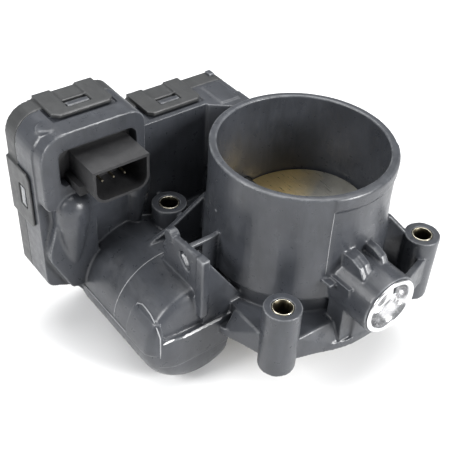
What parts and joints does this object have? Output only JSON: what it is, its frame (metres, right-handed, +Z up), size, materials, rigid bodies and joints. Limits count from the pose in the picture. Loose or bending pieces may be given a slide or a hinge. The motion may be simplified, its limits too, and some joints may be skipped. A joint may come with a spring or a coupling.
{
  "type": "electronic throttle body",
  "caption": "Electronic throttle body: plastic bore housing with a motor driven butterfly plate, two-stage gear train, clipped-on gear cover and side connector.",
  "frame": {"origin": "bore axis on the engine-side mounting face", "axes": "+Z up the bore towards the air inlet rim, +X along the throttle shaft from the gearbox to the steel end plug"},
  "size_m": [0.1369, 0.1547, 0.1165],
  "materials": {
    "housing_plastic": "satin moulded, glass filled",
    "cover_plastic": "fine grained moulded",
    "connector_plastic": "smooth moulded",
    "black_rubber": "matte",
    "pin_brass": "tin plated stampings",
    "sleeve_steel": "yellow passivated",
    "bright_steel": "bright turned",
    "bearing_steel": "ground",
    "shaft_steel": "ground",
    "plate_brass": "stamped, mottled",
    "screw_steel": "plated",
    "gear_nylon": "natural nylon",
    "rotor_brass": "satin",
    "spring_steel": "drawn",
    "motor_steel": "zinc plated",
    "copper_winding": "enamelled",
    "magnet_grey": "ferrite",
    "board_green": "solder mask"
  },
  "bodies": {
    "housing": {"throttle_housing": "housing_plastic", "gear_cover": "cover_plastic", "cover_seal": "black_rubber", "connector_body": "connector_plastic", "connector_pins": "pin_brass", "bolt_sleeves": "sleeve_steel", "flange_seal": "black_rubber", "shaft_plug": "bright_steel", "needle_cups": "bearing_steel", "needle_rollers": "bearing_steel", "shaft_seals": "black_rubber", "return_spring": "spring_steel", "gear_pin": "shaft_steel", "motor_case": "motor_steel", "motor_plate": "connector_plastic", "motor_magnets": "magnet_grey", "motor_screws": "screw_steel", "motor_terminals": "pin_brass", "wave_spring": "spring_steel", "sensor_board": "board_green", "sensor_leads": "pin_brass", "stop_screw": "screw_steel"},
    "throttle": {"throttle_shaft": "shaft_steel", "throttle_plate": "plate_brass", "plate_screws": "screw_steel", "sector_gear": "gear_nylon", "sensor_rotor": "rotor_brass", "shaft_clip": "spring_steel"},
    "intermediate": {"intermediate_gear": "gear_nylon"},
    "motor_rotor": {"motor_armature": "copper_winding", "motor_pinion": "rotor_brass"}
  },
  "joints": [
    {"name": "throttle_turn", "type": "hinge", "parent": "housing", "child": "throttle", "pos_m": [0, 0, 0.029], "axis": [1, 0, 0], "range_deg": [-8, 76], "stiffness_Nm_per_rad": 0.05},
    {"name": "intermediate_spin", "type": "hinge", "parent": "housing", "child": "intermediate", "pos_m": [-0.058, -0.04487, 0.0168], "axis": [1, 0, 0], "range_deg": [-319, 36]},
    {"name": "motor_spin", "type": "hinge", "parent": "housing", "child": "motor_rotor", "pos_m": [-0.02, -0.0645, -0.001], "axis": [1, 0, 0], "range_deg": [-130, 1212]}
  ],
  "couplings": [
    {"joint": "intermediate_spin", "follows": "throttle_turn", "ratio": -4.1667},
    {"joint": "motor_spin", "follows": "throttle_turn", "ratio": 15.909}
  ]
}
